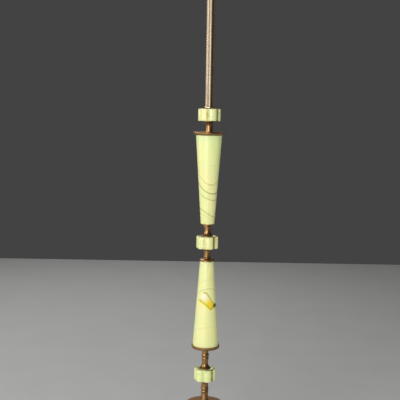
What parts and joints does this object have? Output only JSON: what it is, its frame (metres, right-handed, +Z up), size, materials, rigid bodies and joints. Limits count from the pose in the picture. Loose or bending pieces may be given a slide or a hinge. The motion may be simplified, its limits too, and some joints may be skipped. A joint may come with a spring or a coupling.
{
  "type": "standing lamp",
  "caption": "Tall standing lamp of turned pale onyx cones and lobed rollers between brass spools, on a round weighted foot, with a reeded brass tube up to a screw lamp holder.",
  "frame": {"origin": "on the floor, on the axis of the threaded rod", "axes": "+Z up the lamp's axis, -Y the front, +X the switch knob, +Y the flex grommet at the back"},
  "size_m": [0.248, 0.248, 1.4035],
  "materials": {
    "onyx": "polished pale green onyx with amber and olive veins",
    "aged_brass": "polished brass aged to a reddish brown",
    "pale_brass": "drawn brass, lightly tarnished",
    "zinc_steel": "zinc plated",
    "weight_iron": "cast, blacked",
    "felt": "dark green wool felt",
    "rubber": "black rubber",
    "porcelain": "unglazed white porcelain",
    "liner_card": "pressed insulating card",
    "fibre": "red vulcanised fibre",
    "knob": "dark brown moulded"
  },
  "bodies": {
    "lamp": {"base_slab": "onyx", "base_drum": "onyx", "lower_rosette": "onyx", "lower_cone": "onyx", "middle_rosette": "onyx", "upper_cone": "onyx", "upper_rosette": "onyx", "base_shell": "aged_brass", "base_bell": "aged_brass", "base_plate": "aged_brass", "base_spool": "aged_brass", "lower_spool": "aged_brass", "cone_dish": "aged_brass", "collet_cap": "aged_brass", "collet_spool": "aged_brass", "middle_spool": "aged_brass", "thin_cap": "aged_brass", "top_plate": "aged_brass", "upper_spool": "aged_brass", "bun_feet": "aged_brass", "tube_ferrule": "pale_brass", "reeded_tube": "pale_brass", "top_ferrule": "pale_brass", "holder_cup": "pale_brass", "holder_sleeve": "pale_brass", "switch_bush": "pale_brass", "thread_shell": "pale_brass", "centre_contact": "pale_brass", "lower_tube_plug": "pale_brass", "upper_tube_plug": "pale_brass", "threaded_rod": "zinc_steel", "rod_nut": "zinc_steel", "rod_washer": "zinc_steel", "foot_screws": "zinc_steel", "holder_nipple": "zinc_steel", "terminal_screws": "zinc_steel", "base_weight": "weight_iron", "felt_pads": "felt", "flex_grommet": "rubber", "contact_block": "porcelain", "shell_liner": "liner_card", "fibre_washers": "fibre"},
    "switch": {"switch_spindle": "zinc_steel", "switch_knob": "knob"},
    "ring": {"shade_ring": "pale_brass"}
  },
  "joints": [
    {"name": "switch_turn", "type": "hinge", "parent": "lamp", "child": "switch", "pos_m": [0, 0, 1.358], "axis": [1, 0, 0], "continuous": true},
    {"name": "ring_lift", "type": "slide", "parent": "lamp", "child": "ring", "axis": [0, 0, 1], "range_m": [0, 0.045]}
  ]
}
